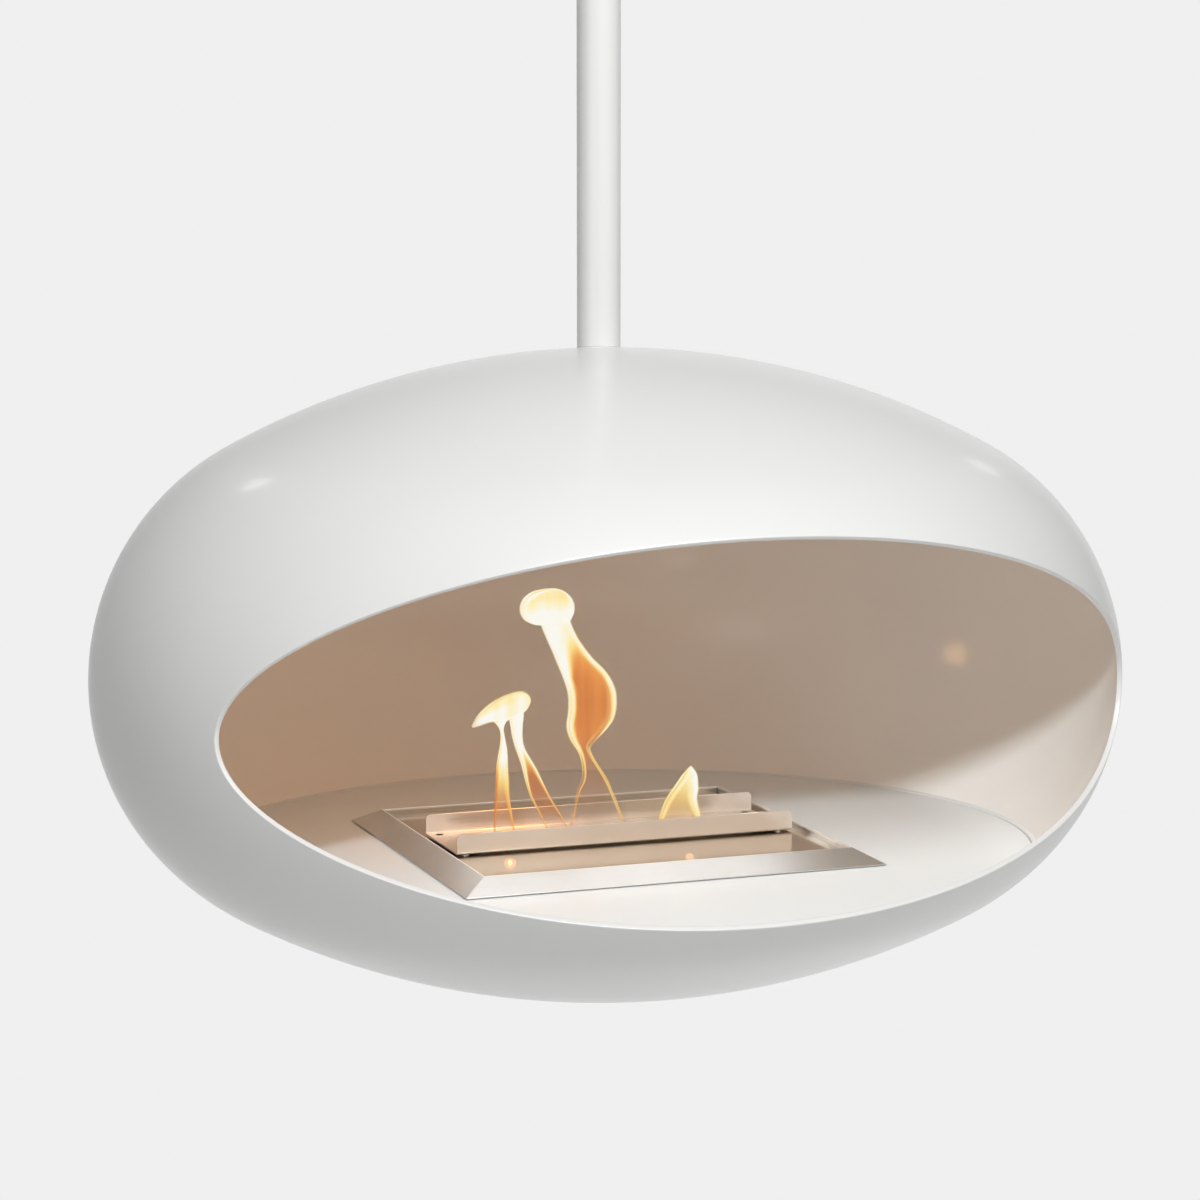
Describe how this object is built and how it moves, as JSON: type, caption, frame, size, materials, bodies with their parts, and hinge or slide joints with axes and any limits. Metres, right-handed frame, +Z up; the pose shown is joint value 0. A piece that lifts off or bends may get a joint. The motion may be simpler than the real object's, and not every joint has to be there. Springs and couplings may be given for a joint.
{
  "type": "hanging fireplace",
  "caption": "Flattened oval steel pod on a ceiling pole that swivels, with a wide oval mouth, a flat hearth and a square drop-in burner with a flame guard and a sliding damper.",
  "frame": {"origin": "centre of the ceiling plate's top face, on the pole's axis, where the part is bolted up", "axes": "+Z up along the pole, the mouth faces -Y, +X to the right seen from the front"},
  "size_m": [1, 0.8602, 1.7003],
  "materials": {
    "white_paint": "white satin heat-proof paint on steel",
    "stainless": "satin stainless steel sheet, heat-tinted near the flames",
    "zinc_steel": "plain zinc-plated steel",
    "bearing_bronze": "turned bronze",
    "ceramic_wool": "matt white ceramic fibre"
  },
  "bodies": {
    "ceiling": {"ceiling_plate": "zinc_steel", "bearing_hub": "zinc_steel", "bearing_bush": "bearing_bronze", "thrust_washer": "bearing_bronze", "canopy": "white_paint", "canopy_screws": "white_paint"},
    "fireplace": {"spindle": "zinc_steel", "spindle_washer": "zinc_steel", "castle_nut": "zinc_steel", "cotter_pin": "zinc_steel", "pole": "white_paint", "pole_foot": "zinc_steel", "pod_shell": "white_paint", "doubler_plate": "white_paint", "stud_washer": "zinc_steel", "stud_nut": "zinc_steel", "stud_locknut": "zinc_steel", "hearth_brackets": "white_paint", "hearth_plate": "white_paint", "hearth_nuts": "zinc_steel", "burner_well": "zinc_steel", "well_screws": "zinc_steel", "burner_surround": "stainless", "burner_casing": "stainless", "burner_top_plate": "stainless", "flame_guard": "stainless", "guard_spacers": "stainless", "guard_screws": "stainless", "fuel_tray": "stainless", "wool_block": "ceramic_wool", "wool_retainer": "stainless", "damper_guides": "stainless"},
    "damper": {"damper_plate": "stainless", "damper_knob": "stainless"}
  },
  "joints": [
    {"name": "swivel", "type": "hinge", "parent": "ceiling", "child": "fireplace", "pos_m": [0, 0, -0.043], "axis": [0, 0, 1], "continuous": true},
    {"name": "damper_slide", "type": "slide", "parent": "fireplace", "child": "damper", "axis": [0, -1, 0], "range_m": [0, 0.057]}
  ]
}
